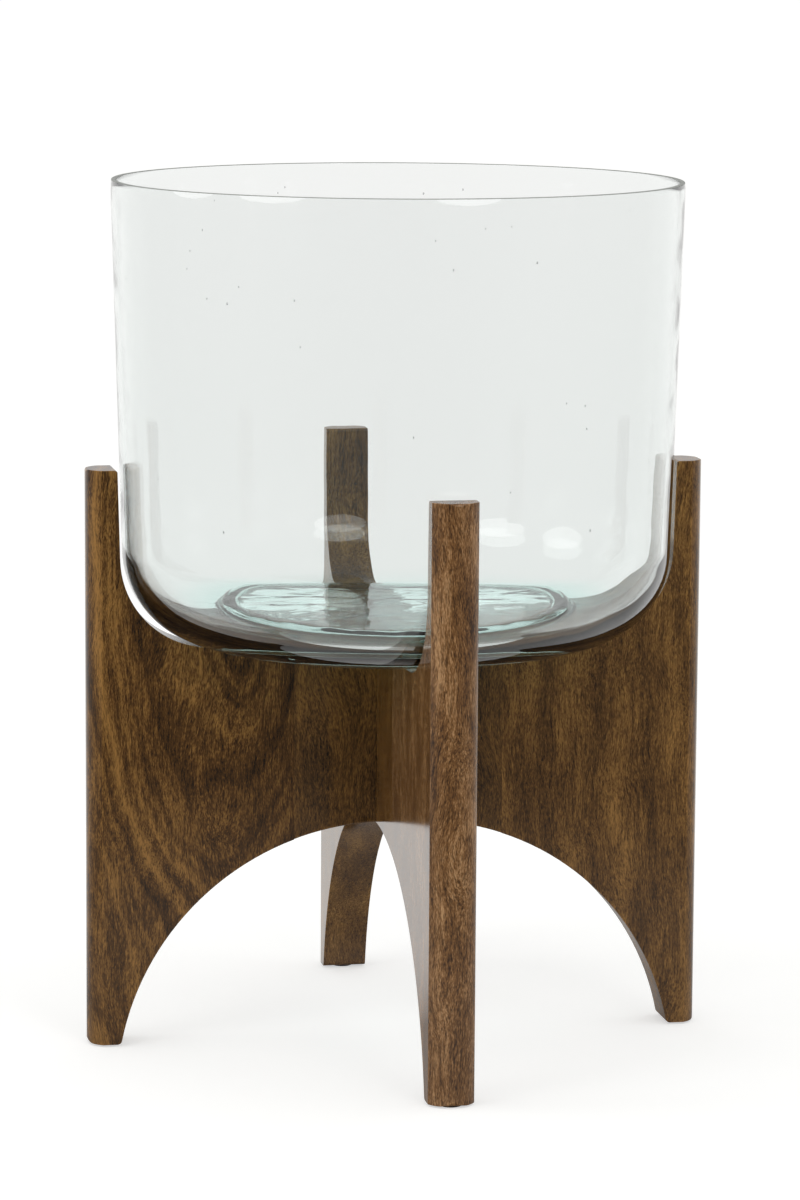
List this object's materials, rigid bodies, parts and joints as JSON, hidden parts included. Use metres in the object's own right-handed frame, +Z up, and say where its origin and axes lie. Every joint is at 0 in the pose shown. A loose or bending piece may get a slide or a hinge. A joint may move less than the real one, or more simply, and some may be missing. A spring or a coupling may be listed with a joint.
{
  "type": "vase on stand",
  "caption": "Wide clear glass cylinder vase with a rounded heel, standing loosely in a base of crossed dark wooden boards with a cradle above and an arch below.",
  "frame": {"origin": "on the floor under the middle of the crossing of the two boards", "axes": "+Z up along the vase's axis, +X along the wide board to the right, -Y along the deep board to the front"},
  "size_m": [0.33, 0.33, 0.4555],
  "materials": {
    "vase_glass": "clear, faint grey-green tint, flat ground rim",
    "stained_wood": "dark brown stain under satin lacquer, upright grain",
    "felt": "dark pressed felt",
    "clear_bumper": "clear soft silicone"
  },
  "bodies": {
    "base": {"wide_board_left": "stained_wood", "wide_board_middle": "stained_wood", "wide_board_right": "stained_wood", "deep_board_front": "stained_wood", "deep_board_middle": "stained_wood", "deep_board_back": "stained_wood", "foot_pad_left": "felt", "foot_pad_right": "felt", "foot_pad_front": "felt", "foot_pad_back": "felt", "bumper_left": "clear_bumper", "bumper_right": "clear_bumper", "bumper_front": "clear_bumper", "bumper_back": "clear_bumper"},
    "vase": {"glass_vase": "vase_glass"}
  },
  "joints": [
    {"name": "vase_lift", "type": "slide", "parent": "base", "child": "vase", "axis": [0, 0, 1], "range_m": [0, 0.12]}
  ]
}
